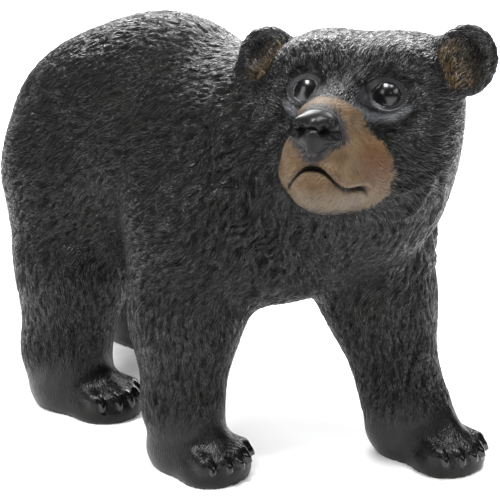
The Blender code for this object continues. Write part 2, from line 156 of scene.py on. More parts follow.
def round_cone(p, start, end, start_radius, end_radius):
    """Distance to the body that a ball sweeps as it goes from start to end."""
    start, end = vec(*start), vec(*end)
    along = end - start
    length2 = float(along @ along)
    taper = start_radius - end_radius
    slope2 = length2 - taper * taper
    q = p - start
    y = q @ along
    z = y - length2
    across = q * length2 - y[:, None] * along
    x2 = (across * across).sum(1)
    y2 = y * y * length2
    z2 = z * z * length2
    k = np.sign(taper) * taper * taper * x2
    side = (np.sqrt(np.maximum(x2 * slope2 / length2, 0)) + y * taper) / length2 - start_radius
    before = np.sqrt(np.maximum(x2 + y2, 0)) / length2 - start_radius
    after = np.sqrt(np.maximum(x2 + z2, 0)) / length2 - end_radius
    side = np.where(np.sign(y) * slope2 * y2 < k, before, side)
    return np.where(np.sign(z) * slope2 * z2 > k, after, side)


def rounded_box(p, centre, half, radius):
    q = np.abs(p - vec(*centre)) - (vec(*half) - radius)
    outside = np.sqrt((np.maximum(q, 0) ** 2).sum(1))
    return outside + np.minimum(q.max(1), 0) - radius


def blended(a, b, blend):
    """Union of two bodies with a fillet."""
    h = np.maximum(blend - np.abs(a - b), 0) / blend
    return np.minimum(a, b) - h * h * blend / 4


def carved(a, b, blend):
    """The first body with the second taken out of it, with a rounded rim."""
    h = np.maximum(blend - np.abs(a + b), 0) / blend
    return np.maximum(a, -b) + h * h * blend / 4


def within(p, centre, reach, body):
    """Distance to a body, worked out only near it."""
    margin = 50
    far = np.sqrt(((p - vec(*centre)) ** 2).sum(1))
    distance = (far - reach).astype(np.float32)
    near = far < reach + margin
    if near.any():
        distance[near] = body(p[near])
    return distance


# Small forms drawn over a body

def bell(x):
    return np.exp(-x * x)


def step(x, low, high):
    t = np.clip((x - low) / (high - low), 0, 1)
    return t * t * (3 - 2 * t)


def line_distance(p, points):
    nearest = np.full(len(p), np.inf, np.float32)
    for start, end in zip(points[:-1], points[1:]):
        start = vec(*start)
        along = vec(*end) - start
        t = np.clip(((p - start) @ along) / (along @ along), 0, 1)
        gap = np.sqrt(((p - start - t[:, None] * along) ** 2).sum(1))
        nearest = np.minimum(nearest, gap)
    return nearest


# Head, in its own frame: x to its left, -y forward, z up

HEAD_SPIN = turned(z=HEAD_TURN) @ turned(x=HEAD_LIFT) @ turned(y=HEAD_ROLL)


def in_head_frame(p):
    return (p - vec(*HEAD_PLACE)) @ HEAD_SPIN


def from_eyes(q):
    """Places in the head measured from the centre of the eye on the same side."""
    return np.column_stack((np.abs(q[:, 0] - EYE_MIDLINE), q[:, 1:])) - vec(*EYE)


def head_mass(q, softly_mirrored):
    d = ellipsoid(softly_mirrored, (26, 16, 6), (60, 74, 66))                       # skull
    d = blended(d, ellipsoid(softly_mirrored, (44, 6, -36), (37, 54, 54)), 26)      # cheeks
    d = blended(d, ellipsoid(softly_mirrored, (34, -26, 34), (32, 30, 22)), 16)     # brow
    d = blended(d, round_cone(q, (0, -36, 0), (0, -126, -24), 36, 22), 18)          # bridge
    d = blended(d, rounded_box(q, (0, -90, -52), (35, 56, 34), 31), 16)             # muzzle
    d = blended(d, ellipsoid(softly_mirrored, (19, -58, -56), (21, 46, 32)), 28)    # jowls
    d = blended(d, ellipsoid(q, (0, -94, -72), (33, 54, 27)), 10)                   # lower jaw
    return blended(d, round_cone(q, (52, 16, 40), (84, 10, 52), 24, 14), 16)        # left temple


def nose(q, mirrored):
    pad = ellipsoid(q, (0, -142, -21), (22, 15, 12))
    pad = blended(pad, ellipsoid(mirrored, (13, -146, -26), (11, 11, 10)), 5)
    pad = blended(pad, round_cone(q, (0, -148, -28), (0, -151, -43), 10, 4.5), 7)
    hole = ellipsoid(mirrored, (9.5, -158, -26), (4.2, 11, 4.6))
    slit = round_cone(mirrored, (11, -158, -28), (23, -149, -33), 3.0, 1.6)
    return carved(pad, np.minimum(hole, slit), 2.5)


def ear(q, side, half_width, half_height, x, z):
    lean = turned(z=-10 * side)
    shell = ellipsoid(q, (side * x, 2, z), (half_width, 13, half_height), lean)
    cup = ellipsoid(q, (side * (x - 2), -12, z - 2), (half_width * 0.68, 12, half_height * 0.68), lean)
    return carved(shell, cup, 5)


def eye_opening(at_eyes):
    """Distance in the plane of the lids to the edge of the almond-shaped opening."""
    tilted = at_eyes @ turned(y=EYE_TILT)
    wide, high = EYE_OPENING
    share = np.abs(tilted[:, 0] / wide) ** 1.75 + np.abs(tilted[:, 2] / high) ** 2
    return (np.sqrt(share) - 1) * high


def with_eyes(d, at_eyes):
    """Sockets, lids and balls; at_eyes is measured from each eye's centre."""
    d = carved(d, ellipsoid(at_eyes, (1, -16, 0), (19, 9, 15)), 8)
    lids = ellipsoid(at_eyes @ turned(y=EYE_TILT), (0, 2, 0), (18.6, 16.6, 15.2))
    opening = np.maximum(eye_opening(at_eyes), at_eyes[:, 1])
    d = blended(d, carved(lids, opening, 1.2), 3)
    return blended(d, ellipsoid(at_eyes, (0, 2, 0), (EYE_BALL, EYE_BALL, EYE_BALL)), 0.4)


def mouth_height(q):
    """Lips that part in a deep arch under the nose and again at each corner."""
    angle = np.degrees(np.arctan2(np.abs(q[:, 0]), -(q[:, 1] + MOUTH_PIVOT)))
    line = MOUTH_TOP - MOUTH_DROP * step(angle, 2, 22) + 2 * bell((angle - 34) / 8)
    over = q[:, 2] - line + 5 * step(angle, 42, 52)
    depth = 4 + 3 * bell(angle / 9) + 2.5 * bell((angle - 35) / 9)
    groove = np.where(over < 0, bell(over / 3.2), bell(over / 1.7))
    lips = 2.6 * bell((over - 6) / 4) - 1.2 * bell((over + 8) / 5) - depth * groove
    return lips * (1 - step(angle, 46, 56)) * (q[:, 1] < -MOUTH_PIVOT)


def eye_surround_height(at_eyes):
    """Crease round the lids, brow over them, bag and hollow under them."""
    out = np.sqrt(at_eyes[:, 0] ** 2 + at_eyes[:, 2] ** 2)
    round_eye = np.degrees(np.arctan2(at_eyes[:, 2], at_eyes[:, 0]))
    front = 1 - step(at_eyes[:, 1], 10, 24)
    over_eye = step(round_eye, -10, 35) * (1 - step(round_eye, 140, 175))
    under_eye = (1 - step(round_eye, -30, 0)) * step(round_eye, -160, -110)
    rim = eye_opening(at_eyes)
    height = 0.5 * bell((rim - 2) / 1.5) - 1.3 * bell((rim - 6.2) / 1.4)
    height += over_eye * 2.2 * bell((out - 27) / 4.5)
    height += under_eye * (3 * bell((out - 23) / 3.5) - 3.6 * bell((out - 35) / 7))
    return height * front


def face_height(p):
    """Height of the face's carving over its masses."""
    q = in_head_frame(p)
    height = mouth_height(q) + eye_surround_height(from_eyes(q))
    # line from the nose down to the lips
    parting = bell(q[:, 0] / 1.6) * step(-q[:, 1], 120, 140)
    height -= 2 * parting * step(q[:, 2], -60, -54) * (1 - step(q[:, 2], -46, -40))
    # furrow between the brows, then the folds of skin
    height -= 2 * bell(q[:, 0] / 9) * bell((q[:, 2] - 34) / 22) * (1 - step(q[:, 1], -30, 0))
    for fold in NECK_FOLDS:
        height += 3 * bell(line_distance(q, fold) / 4.5)
    return height + 1.6 * bell(line_distance(q, BROW_FOLD) / 4)


def head(p):
    q = in_head_frame(p)
    mirrored = np.column_stack((np.abs(q[:, 0]), q[:, 1:]))
    softness = 24
    soft = np.sqrt(q[:, 0] ** 2 + softness ** 2) - softness / 2
    softly_mirrored = np.column_stack((soft, q[:, 1:]))
    d = head_mass(q, softly_mirrored)
    d = blended(d, nose(q, mirrored), 5)
    for one_ear in EARS:
        d = blended(d, ear(q, *one_ear), 10)
    return with_eyes(d, from_eyes(q))


# Legs and trunk

def toe_tips(wide, long):
    """Where each toe ends, for a paw of that half width and half length."""
    tips = []
    for toe in range(TOES):
        across = 2 * toe / (TOES - 1) - 1
        tips.append((0.70 * wide * across, -long * (0.79 - 0.20 * across ** 2)))
    return tips


def in_paw_frame(p, g):
    return (p - vec(*g["paw"], 0)) @ turned(z=g["heading"])


def claw_distance(q, g):
    """Distance to the nearest claw of a paw, in the paw's own frame."""
    wide, long, high = g["size"][0] / 2, g["size"][1] / 2, g["size"][2]
    thick = TOE_THICKNESS * wide
    nearest = np.full(len(q), 1e3, np.float32)
    for x, y in toe_tips(wide, long):
        root = vec(x, y - 0.62 * thick, 0.46 * high)
        knuckle = root + vec(0, -0.46, -0.30) * CLAW_LENGTH
        tip = root + vec(0.01 * x, -0.66, -0.86) * CLAW_LENGTH
        thin = CLAW_TIP * CLAW_RADIUS
        middle = (CLAW_RADIUS + thin) / 2
        nearest = np.minimum(nearest, round_cone(q, root, knuckle, 0.9 * CLAW_RADIUS, middle))
        nearest = np.minimum(nearest, round_cone(q, knuckle, tip, middle, 0.8 * thin))
    return nearest


def paw(p, g):
    """A paw on the ground, its toes towards -y before it is turned to its heading."""
    q = in_paw_frame(p, g)
    wide, long, high = g["size"][0] / 2, g["size"][1] / 2, g["size"][2]
    d = ellipsoid(q, (0, 0.10 * long, 0.22 * high), (0.88 * wide, 0.88 * long, 0.52 * high))
    d = blended(d, ellipsoid(q, (0, -0.42 * long, 0.14 * high), (wide, 0.56 * long, 0.46 * high)), 12)
    d = blended(d, round_cone(q, (0, 0.16 * long, 0.92 * high), (0, -0.36 * long, 0.50 * high),
                              0.70 * wide, 0.46 * wide), 14)
    thick = TOE_THICKNESS * wide
    for x, y in toe_tips(wide, long):
        back_height = (0.60 - 0.10 * abs(x) / wide) * high
        d = blended(d, round_cone(q, (0.8 * x, y + 0.40 * long, back_height), (x, y, 0.40 * high),
                                  0.80 * thick, 1.15 * thick), 5)
    return blended(d, claw_distance(q, g), 1.2)


def leg(p, g):
    hip, knee, ankle, radii = g["hip"], g["knee"], g["ankle"], g["radii"]
    foot = (ankle[0], ankle[1] - 4, 30)
    d = round_cone(p, hip, knee, radii[0], radii[1])
    d = blended(d, round_cone(p, knee, ankle, radii[1], radii[2]), 24)
    d = blended(d, round_cone(p, ankle, foot, radii[2], radii[2] - 2), 10)
    return blended(d, paw(p, g), 14)


def trunk(p):
    d = None
    for centre, half, tilt, blend in TRUNK:
        mass = ellipsoid(p, centre, half, turned(x=tilt))
        d = mass if d is None else blended(d, mass, blend)
    d = blended(d, round_cone(p, *NECK[:4]), NECK[4])
    return blended(d, ellipsoid(p, *RUFF[:2]), RUFF[2])


def form(p):
    """Distance from each point to the bear's skin, in drawing units, minus inside."""
    d = trunk(p)
    for g in LEGS.values():
        middle = (vec(*g["hip"]) + vec(*g["paw"], 0)) / 2
        d = blended(d, within(p, middle, LEG_REACH, lambda x: leg(x, g)), LEG_BLEND)
    middle = vec(*HEAD_PLACE) + HEAD_SPIN @ vec(*HEAD_MIDDLE)
    d = blended(d, within(p, middle, HEAD_REACH, head), 24)
    return np.maximum(d, -p[:, 2])


def form_and_normal(p, probe=0.8):
    here = form(p)
    rise = [form(p + probe * axis) - here for axis in np.eye(3, dtype=np.float32)]
    return here, unit_rows(np.stack(rise, 1))


def drawn_onto_form(p, rounds):
    longest, share = 12, 0.9
    for _ in range(rounds):
        distance, normal = form_and_normal(p)
        p = p - normal * np.clip(distance, -longest, longest)[:, None] * share
    return p


# Locks of the ruff

def coat_direction(normal):
    """The way the ruff lies: back and down, along the skin."""
    way = np.zeros_like(normal) + vec(0, 0.55, -1)
    return unit_rows(way - normal * (way * normal).sum(1)[:, None])


def ruff_locks():
    """Middle, skin normal and direction of every lock, in rows round the neck."""
    start, axis = vec(*RUFF_START), vec(*RUFF_END) - vec(*RUFF_START)
    ahead = axis / np.linalg.norm(axis)
    side = np.cross(ahead, (0, 0, 1))
    side /= np.linalg.norm(side)
    up = np.cross(side, ahead)
    outside = 125
    seeds = []
    for row in range(RUFF_ROWS):
        for column in range(RUFF_COLUMNS):
            uneven = 0.25 * np.sin(5 * row + 3 * column) + 0.5 * (row % 2)
            angle = np.radians(RUFF_SWEEP * ((column + uneven) / RUFF_COLUMNS - 0.5))
            share = (row + 0.5) / RUFF_ROWS + 0.04 * np.sin(7 * column + row)
            seeds.append(start + axis * share + (side * np.sin(angle) - up * np.cos(angle)) * outside)
    middles = drawn_onto_form(np.array(seeds, np.float32), rounds=14)
    middles = middles[middles[:, 2] > RUFF_FOOT]
    normals = form_and_normal(middles)[1]
    return middles, normals, coat_direction(normals)


def lock_height(p):
    """Height of the locks over the skin, the highest one showing where they overlap."""
    height = np.zeros(len(p), np.float32)
    for i, (middle, normal, way) in enumerate(zip(*ruff_locks())):
        q = p - middle
        near = (q ** 2).sum(1) < (1.3 * LOCK_LENGTH) ** 2
        q = q[near]
        along = q @ way / LOCK_LENGTH
        curl = 0.35 * np.sin(2.6 * along + i)
        across = q @ np.cross(normal, way) / LOCK_WIDTH - curl
        half_width = np.sqrt(np.clip(1 - along ** 2, 1e-6, 1)) * (1 - 0.25 * along)
        body = np.clip(1 - (across / half_width) ** 2, 0, 1)
        body = body * step(along, -1, 0.3) * (1 - step(along, 0.5, 1))
        size = LOCK_HEIGHT * (1 - 0.3 * np.sin(4 * i) ** 2)
        height[near] = np.maximum(height[near], size * body)
    return height


# Regions of the figure, each 0 to 1

def waves(p, size, seed):
    """A smooth, endless unevenness of about -1 to 1, with bumps of the given size."""
    rng = np.random.default_rng(seed)
    total = np.zeros(len(p), np.float32)
    count = 7
    for _ in range(count):
        way = rng.normal(size=3)
        way /= np.linalg.norm(way)
        stride = 2 * np.pi / size * rng.uniform(0.6, 1.5)
        total += np.sin(p @ (way * stride).astype(np.float32) + rng.uniform(0, 6.28))
    return total / np.sqrt(count)


def ear_masks(q):
    """The ears, the hollows in them, and the part of a hollow where tufts grow."""
    ears, cups, tufts = np.zeros((3, len(q)), np.float32)
    for side, half_width, half_height, x, z in EARS:
        lean = turned(z=-10 * side)
        whole = ellipsoid(q, (side * x, 2, z), (half_width, 13, half_height), lean)
        cup = ellipsoid(q, (side * (x - 2), -12, z - 2), (half_width * 0.68, 12, half_height * 0.68), lean)
        outward, upward = side * q[:, 0] - x, q[:, 2] - z
        inner = 1 - step(0.8 * outward + 0.6 * upward, -12, 12)
        ears = np.maximum(ears, 1 - step(whole, 1, 8))
        cups = np.maximum(cups, 1 - step(cup, 0.5, 3.5))
        tufts = np.maximum(tufts, (1 - step(cup, 1, 6)) * inner)
    return ears, cups, tufts


def regions(p):
    """Where the parts of the figure are, as soft masks for relief and paint."""
    q = in_head_frame(p)
    at_eyes = from_eyes(q)
    out = np.sqrt(at_eyes[:, 0] ** 2 + at_eyes[:, 2] ** 2)
    r = {}
    r["head"] = 1 - step(np.sqrt(((q - vec(0, -10, -8)) ** 2).sum(1)), 92, 128)
    back_edge = 52 + 63 * ((q[:, 2] + 80) / 86) ** 2
    snout = step(-q[:, 1] - back_edge, -6, 6) * step(q[:, 2], -102, -92)
    r["muzzle"] = snout * (1 - step(ellipsoid(q, SNOUT_PLACE, SNOUT_REACH), -4, 4))
    r["nose"] = 1 - step(ellipsoid(q, (0, -146, -29), (25, 18, 21)), -1, 2)
    front = 1 - step(at_eyes[:, 1], 10, 24)
    r["eyes"] = front * (1 - step(eye_opening(at_eyes), 3.5, 6))
    r["brow"] = front * bell((out - 30) / 8) * step(at_eyes[:, 2], 4, 16)
    r["ear"], r["ear_cup"], r["ear_tuft"] = ear_masks(q)
    claws = np.full(len(p), 1e3, np.float32)
    paws = np.zeros(len(p), np.float32)
    for g in LEGS.values():
        s = in_paw_frame(p, g)
        reach = (np.abs(s[:, 0]) < 60) & (np.abs(s[:, 1]) < 110)
        high = g["size"][2]
        paws = np.maximum(paws, reach * (1 - step(p[:, 2] + 0.35 * s[:, 1], 0.7 * high, 1.35 * high)))
        close = reach & (p[:, 2] < 60)
        claws[close] = np.minimum(claws[close], claw_distance(s[close], g))
    r["claw"] = 1 - step(claws, 0.2, 1.2)
    r["paw"] = paws
    r["sole"] = 1 - step(p[:, 2], 9, 17)
    r["leg"] = 1 - step(p[:, 2], 150, 215)
    neck = ellipsoid(p, (14, -150, 305), (120, 110, 105))
    r["ruff"] = (1 - step(neck, -8, 26)) * (1 - r["head"] * 0.75) * (1 - 0.6 * r["leg"])
    return r


def flow(p, normal, r):
    """The way the tooled hair lies along the skin."""
    q = in_head_frame(p)
    body = np.zeros_like(p) + vec(0, 0.8, -0.6)
    ruff = np.zeros_like(p) + vec(0, 0.45, -1)
    legs = np.zeros_like(p) + vec(0, 0.12, -1)
    from_nose = unit_rows(q - vec(*NOSE_TIP)) @ HEAD_SPIN.T
    in_ear = unit_rows(np.column_stack((0.7 * np.sign(q[:, 0]), 0 * q[:, 1] - 0.2, 0 * q[:, 2] + 0.7)))
    in_ear = in_ear @ HEAD_SPIN.T
    way = body
    layers = ((r["leg"], legs), (r["ruff"], ruff), (r["head"], from_nose), (r["ear_cup"], in_ear))
    for mask, other in layers:
        way = way * (1 - mask[:, None]) + other * mask[:, None]
    way = unit_rows(way - normal * (way * normal).sum(1)[:, None])
    swing = np.radians(13 + 14 * r["ruff"]) * waves(p, 46, 11) + np.radians(8) * waves(p, 19, 12)
    side = np.cross(normal, way)
    return way * np.cos(swing)[:, None] + side * np.sin(swing)[:, None]


# Tooled hair, stroke by stroke

def cell_key(cells):
    return (cells[:, 0] * 73856093) ^ (cells[:, 1] * 19349663) ^ (cells[:, 2] * 83492791)


def scattered(points, spacing, rng):
    """One point of the mesh out of every cube of the given size."""
    order = rng.permutation(len(points))
    cells = np.floor(points[order] / spacing).astype(np.int64)
    _, first = np.unique(cell_key(cells), return_index=True)
    return order[first]


def near_pairs(points, seeds, reach):
    """Index pairs of seeds and mesh points that lie in the same or touching cubes."""
    cells = np.floor(points / reach).astype(np.int64)
    keys = cell_key(cells)
    order = np.argsort(keys, kind="stable")
    ordered = keys[order]
    home = cells[seeds]
    for dx in (-1, 0, 1):
        for dy in (-1, 0, 1):
            for dz in (-1, 0, 1):
                wanted = cell_key(home + np.array((dx, dy, dz)))
                low = np.searchsorted(ordered, wanted, "left")
                high = np.searchsorted(ordered, wanted, "right")
                count = high - low
                which = np.repeat(np.arange(len(seeds)), count)
                if len(which) == 0:
                    continue
                offset = np.arange(len(which)) - np.repeat(np.cumsum(count) - count, count)
                yield which, order[low[which] + offset]


def hair_strokes(points, normal, way, strength, spacing, length, width, seed):
    """Height of tapered strokes that lie along the coat, the highest one showing.

    strength is the height at each point; length and width are of half a stroke.
    """
    rng = np.random.default_rng(seed)
    seeds = scattered(points, spacing, rng)
    seeds = seeds[strength[seeds] > 0.02]
    longest = length * 1.25
    sizes = rng.uniform(0.7, 1.25, len(seeds))
    heights = rng.uniform(0.45, 1.0, len(seeds))
    bends = rng.uniform(-0.2, 0.2, len(seeds))
    swing = rng.normal(0, 0.14, len(seeds))[:, None]
    along_way = way[seeds] * np.cos(swing) + np.cross(normal[seeds], way[seeds]) * np.sin(swing)
    across_way = np.cross(normal[seeds], along_way)
    relief = np.zeros(len(points), np.float32)
    for which, target in near_pairs(points, seeds, longest):
        q = points[target] - points[seeds[which]]
        along = (q * along_way[which]).sum(1) / (length * sizes[which])
        curve = bends[which] * (along ** 2) * length / width * 0.35
        across = (q * across_way[which]).sum(1) / width - curve
        inside = (np.abs(along) < 1) & (np.abs(across) < 1)
        along, across = along[inside], across[inside]
        half_width = np.sqrt(1 - along ** 2) * (1 - 0.35 * along)
        body = np.clip(1 - (across / np.maximum(half_width, 0.05)) ** 2, 0, 1)
        rise = body * step(along, -1, -0.1) * (1 - step(along, 0.6, 1))
        np.maximum.at(relief, target[inside], (heights[which][inside] * rise).astype(np.float32))
    return relief * strength


# Meshes

def mesh_points(mesh):
    flat = np.empty(len(mesh.vertices) * 3, np.float32)
    mesh.vertices.foreach_get("co", flat)
    return flat.reshape(-1, 3)


def set_mesh_points(mesh, points):
    mesh.vertices.foreach_set("co", points.astype(np.float32).ravel())
    mesh.update()


def apply_modifier(obj, kind, **settings):
    modifier = obj.modifiers.new(kind.title(), kind)
    for name, value in settings.items():
        setattr(modifier, name, value)
    graph = bpy.context.evaluated_depsgraph_get()
    mesh, old = bpy.data.meshes.new_from_object(obj.evaluated_get(graph)), obj.data
    obj.modifiers.clear()
    obj.data = mesh
    bpy.data.meshes.remove(old)


def to_drawing(points):
    return points / UNIT + vec(*OUTLINE_MIDDLE, 0)


def to_metres(points):
    return (points - vec(*OUTLINE_MIDDLE, 0)) * UNIT


def skin_from(node, name):
    """A copy of a CAD node's mesh in drawing units, welded and remeshed finely."""
    skin = bpy.data.objects.new(name, node.data.copy())
    bpy.context.scene.collection.objects.link(skin)
    bm = bmesh.new()
    bm.from_mesh(skin.data)
    bmesh.ops.remove_doubles(bm, verts=bm.verts, dist=1e-6)
    bm.to_mesh(skin.data)
    bm.free()
    set_mesh_points(skin.data, to_drawing(mesh_points(skin.data)))
    apply_modifier(skin, 'REMESH', mode='VOXEL', voxel_size=GRAIN)
    return skin


def set_attribute(mesh, name, values, kind='FLOAT'):
    layer = mesh.attributes.new(name, kind, 'POINT')
    field = "value" if kind == 'FLOAT' else "vector"
    layer.data.foreach_set(field, values.astype(np.float32).ravel())


def carve(points):
    """Relief of the whole figure: face, locks, then tufts and strokes of hair.

    Gives the carved places and how high the hair stands at each, from 0 to about 1.
    """
    points = drawn_onto_form(points, rounds=4)
    normal = form_and_normal(points)[1]
    r = regions(points)
    points = points + normal * (lock_height(points) + face_height(points))[:, None]
    bare = np.maximum.reduce((r["nose"], r["eyes"], r["claw"], r["sole"]))
    furred = (1 - bare) * (1 - 0.85 * r["paw"]) * (1 - 0.75 * r["muzzle"])
    face = r["head"] * (1 - r["ear_cup"])
    tufts = furred * (1.4 + 1.9 * r["ruff"] - 0.5 * r["leg"]) * (1 - 0.6 * face)
    tufts = tufts + (1 - bare) * (1.3 * r["brow"] + 2.2 * r["ear_tuft"])
    strokes = furred * (1.2 + 0.4 * r["ruff"] - 0.2 * r["leg"]) * (1 - 0.25 * face)
    way = flow(points, normal, r)
    height = hair_strokes(points, normal, way, tufts, **TUFTS)
    height += hair_strokes(points, normal, way, strokes, **STROKES)
    points = points + normal * (height - 0.5 * (tufts + strokes))[:, None]
    points[points[:, 2] < SOLE_BAND, 2] = 0
    return points, height / np.maximum(tufts + strokes, 0.3)


def plain_weights(points):
    """How freely the mesh may be thinned at each point: least on face, ears and claws."""
    r = regions(points)
    shares = (("head", 0.9), ("ear", 0.7), ("claw", 0.8), ("paw", 0.35), ("ruff", 0.3))
    fine = np.maximum.reduce([share * r[name] for name, share in shares])
    underside = (1 - step(points[:, 2], 0.5, 3)) + 0.5 * step(points[:, 0], 40, 90) * (1 - r["head"])
    return np.clip(0.95 - 0.75 * fine + 0.3 * underside, 0.05, 1.0)


def thin_out(bear):
    weights = plain_weights(mesh_points(bear.data))
    group = bear.vertex_groups.new(name="plain")
    levels = np.round(weights * 10).astype(int)
    for level in range(1, 11):
        chosen = np.flatnonzero(levels == level)
        if len(chosen):
            group.add(chosen.tolist(), level / 10, 'REPLACE')
    triangles = 2 * len(bear.data.polygons)
    apply_modifier(bear, 'DECIMATE', decimate_type='COLLAPSE', ratio=SKIN_TRIANGLES / triangles,
                   vertex_group="plain", vertex_group_factor=FINE_CARE)
    bear.vertex_groups.clear()


PAINT_MASKS = ("ear_cup", "ear_tuft", "claw", "paw", "sole")


def paint_masks(mesh):
    """Store the regions and the way of the hair on the mesh, for the material."""
    points = mesh_points(mesh)
    distance, normal = form_and_normal(points)
    r = regions(points)
    for name in PAINT_MASKS:
        set_attribute(mesh, name, r[name])
    set_attribute(mesh, "way", flow(points, normal, r), 'FLOAT_VECTOR')
    set_attribute(mesh, "height", distance)


def make_casting():
    bear = skin_from(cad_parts["bear"], "bear_casting")
    points, hair = carve(mesh_points(bear.data))
    set_mesh_points(bear.data, points)
    set_attribute(bear.data, "hair", hair)
    thin_out(bear)
    paint_masks(bear.data)
    set_mesh_points(bear.data, to_metres(mesh_points(bear.data)))
    bear.data.shade_smooth()
    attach(bear, "root")
    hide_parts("bear")
    return bear


# Paint, its colours as linear red, green and blue

BLACK = (0.0020, 0.0020, 0.0022, 1)         # the black paint; between the hairs it stands as painted shade
UMBER = (0.0045, 0.0036, 0.0026, 1)         # the same, in broad browner patches
PAINTED_SHEEN = (0.0095, 0.0095, 0.0102, 1)        # painted sheen on the raised hairs
BAG_HIGHLIGHT = (0.095, 0.098, 0.106, 1)         # painted highlight on the bags under the eyes
# painted shade in the hollows under the eyes
HOLLOW_SHADE = (0.004, 0.004, 0.004, 1)
BEIGE = (0.150, 0.106, 0.064, 1)
BROWN = (0.098, 0.059, 0.031, 1)
# rust-brown of the left cheek, partly the paint's own tone and partly painted shade
RUST_AND_SHADE = (0.105, 0.050, 0.022, 1)
CHIN_GREY = (0.125, 0.100, 0.074, 1)
TAN_CREVICE_SHADE = (0.045, 0.026, 0.014, 1)          # painted shade between the fine hairs of the snout
SMOKE = (0.010, 0.010, 0.011, 1)            # round the nose
# painted highlight on the hairs round the nose
SMOKE_HAIR_HIGHLIGHT = (0.060, 0.062, 0.068, 1)
# painted shade deep in the mouth
LIP_SHADE = (0.006, 0.004, 0.003, 1)
EAR_CUP = (0.006, 0.0055, 0.005, 1)
TUFT_GAP = (0.005, 0.0045, 0.004, 1)
OCHRE = (0.085, 0.056, 0.026, 1)
LID_GREY = (0.024, 0.024, 0.027, 1)
JET = (0.0040, 0.0040, 0.0045, 1)           # eyeballs and claws
NOSE_BLACK = (0.0110, 0.0110, 0.0120, 1)
# painted shade inside the nostrils
NOSTRIL_SHADE = (0.0015, 0.0015, 0.0015, 1)
BODY_SHINE = 0.10                           # specular level of the paint under the varnish
VARNISH_ROUGHNESS = 0.20
BAG_RADIUS = 22.0                           # of the crescent under an eye
HOLLOW_RADIUS = 37.0


class Nodes:
    """A short way to write a node tree: each call adds a node and gives its output."""

    def __init__(self, material):
        material.use_nodes = True
        self.tree = material.node_tree
        self.shader = self.tree.nodes["Principled BSDF"]

    def add(self, kind, inputs=None, out=0, **settings):
        node = self.tree.nodes.new(kind)
        for name, value in settings.items():
            setattr(node, name, value)
        for name, value in (inputs or {}).items():
            self.feed(node.inputs[name], value)
        return node.outputs[out]

    def feed(self, socket, value):
        if isinstance(value, bpy.types.NodeSocket):
            self.tree.links.new(value, socket)
        else:
            socket.default_value = value

    def mask(self, name):
        return self.add("ShaderNodeAttribute", attribute_name=name, out="Fac")

    def vector(self, name):
        return self.add("ShaderNodeAttribute", attribute_name=name, out="Vector")

    def axes(self, vector):
        return self.add("ShaderNodeSeparateXYZ", {"Vector": vector}).node.outputs[:]

    def point(self, x, y, z):
        return self.add("ShaderNodeCombineXYZ", {"X": x, "Y": y, "Z": z})

    def math(self, operation, a, b=0.0, c=0.0, clamp=False):
        return self.add("ShaderNodeMath", {0: a, 1: b, 2: c}, operation=operation, use_clamp=clamp)

    def vmath(self, operation, a, b=(0, 0, 0), out=0):
        return self.add("ShaderNodeVectorMath", {0: a, 1: b}, operation=operation, out=out)

    def times(self, a, b):
        return self.math('MULTIPLY', a, b)

    def spread(self, a, gain, start):
        """The value times a gain, from a start."""
        return self.math('MULTIPLY_ADD', a, gain, start)

    def most(self, a, *others):
        for other in others:
            a = self.math('MAXIMUM', a, other)
        return a

    def mix(self, share, a, b):
        node = self.tree.nodes.new("ShaderNodeMix")
        node.data_type = 'RGBA'
        self.feed(node.inputs["Factor"], share)
        self.feed(node.inputs[6], a)
        self.feed(node.inputs[7], b)
        return node.outputs[2]

    def blend(self, share, a, b):
        node = self.tree.nodes.new("ShaderNodeMix")
        self.feed(node.inputs["Factor"], share)
        self.feed(node.inputs[2], a)
        self.feed(node.inputs[3], b)
        return node.outputs[0]

    def ramp(self, value, low, high):
        return self.add("ShaderNodeMapRange", {"Value": value, "From Min": low, "From Max": high},
                        interpolation_type='SMOOTHSTEP')

    def noise(self, place, scale, detail=3.0):
        return self.add("ShaderNodeTexNoise", {"Vector": place, "Scale": scale, "Detail": detail}, out="Fac")


def combed_hairs(n, place, way, side, cell, long, wide, shift):
    """Fine hairs along the coat: scattered patches, each with its own stretched cells."""
    moved = n.vmath('ADD', place, (shift, 0.7 * shift, -shift))
    patch = n.tree.nodes.new("ShaderNodeTexVoronoi")
    n.feed(patch.inputs["Vector"], moved)
    patch.inputs["Scale"].default_value = 1 / cell
    local = n.vmath('SUBTRACT', moved, patch.outputs["Position"])
    along = n.vmath('DOT_PRODUCT', local, way, out="Value")
    across = n.vmath('DOT_PRODUCT', local, side, out="Value")
    bend = n.times(n.times(along, along), 0.12 / cell)
    across = n.times(n.math('ADD', across, bend), 1 / wide)
    chance = n.add("ShaderNodeSeparateColor", {"Color": patch.outputs["Color"]}, out=0)
    spot = n.point(n.times(along, 1 / long), across, n.times(chance, 40.0))
    hairs = n.tree.nodes.new("ShaderNodeTexVoronoi")
    n.feed(hairs.inputs["Vector"], spot)
    hairs.inputs["Scale"].default_value = 1
    ridge = n.ramp(hairs.outputs["Distance"], 0.85, 0.1)
    return n.times(ridge, n.ramp(patch.outputs["Distance"], 0.95, 0.55))


def from_eyes_nodes(n, face):
    """Place measured from the centre of the eye on the same side of the head."""
    x, y, z = n.axes(face)
    x = n.math('ABSOLUTE', n.math('SUBTRACT', x, EYE_MIDLINE))
    return n.vmath('SUBTRACT', n.point(x, y, z), EYE)


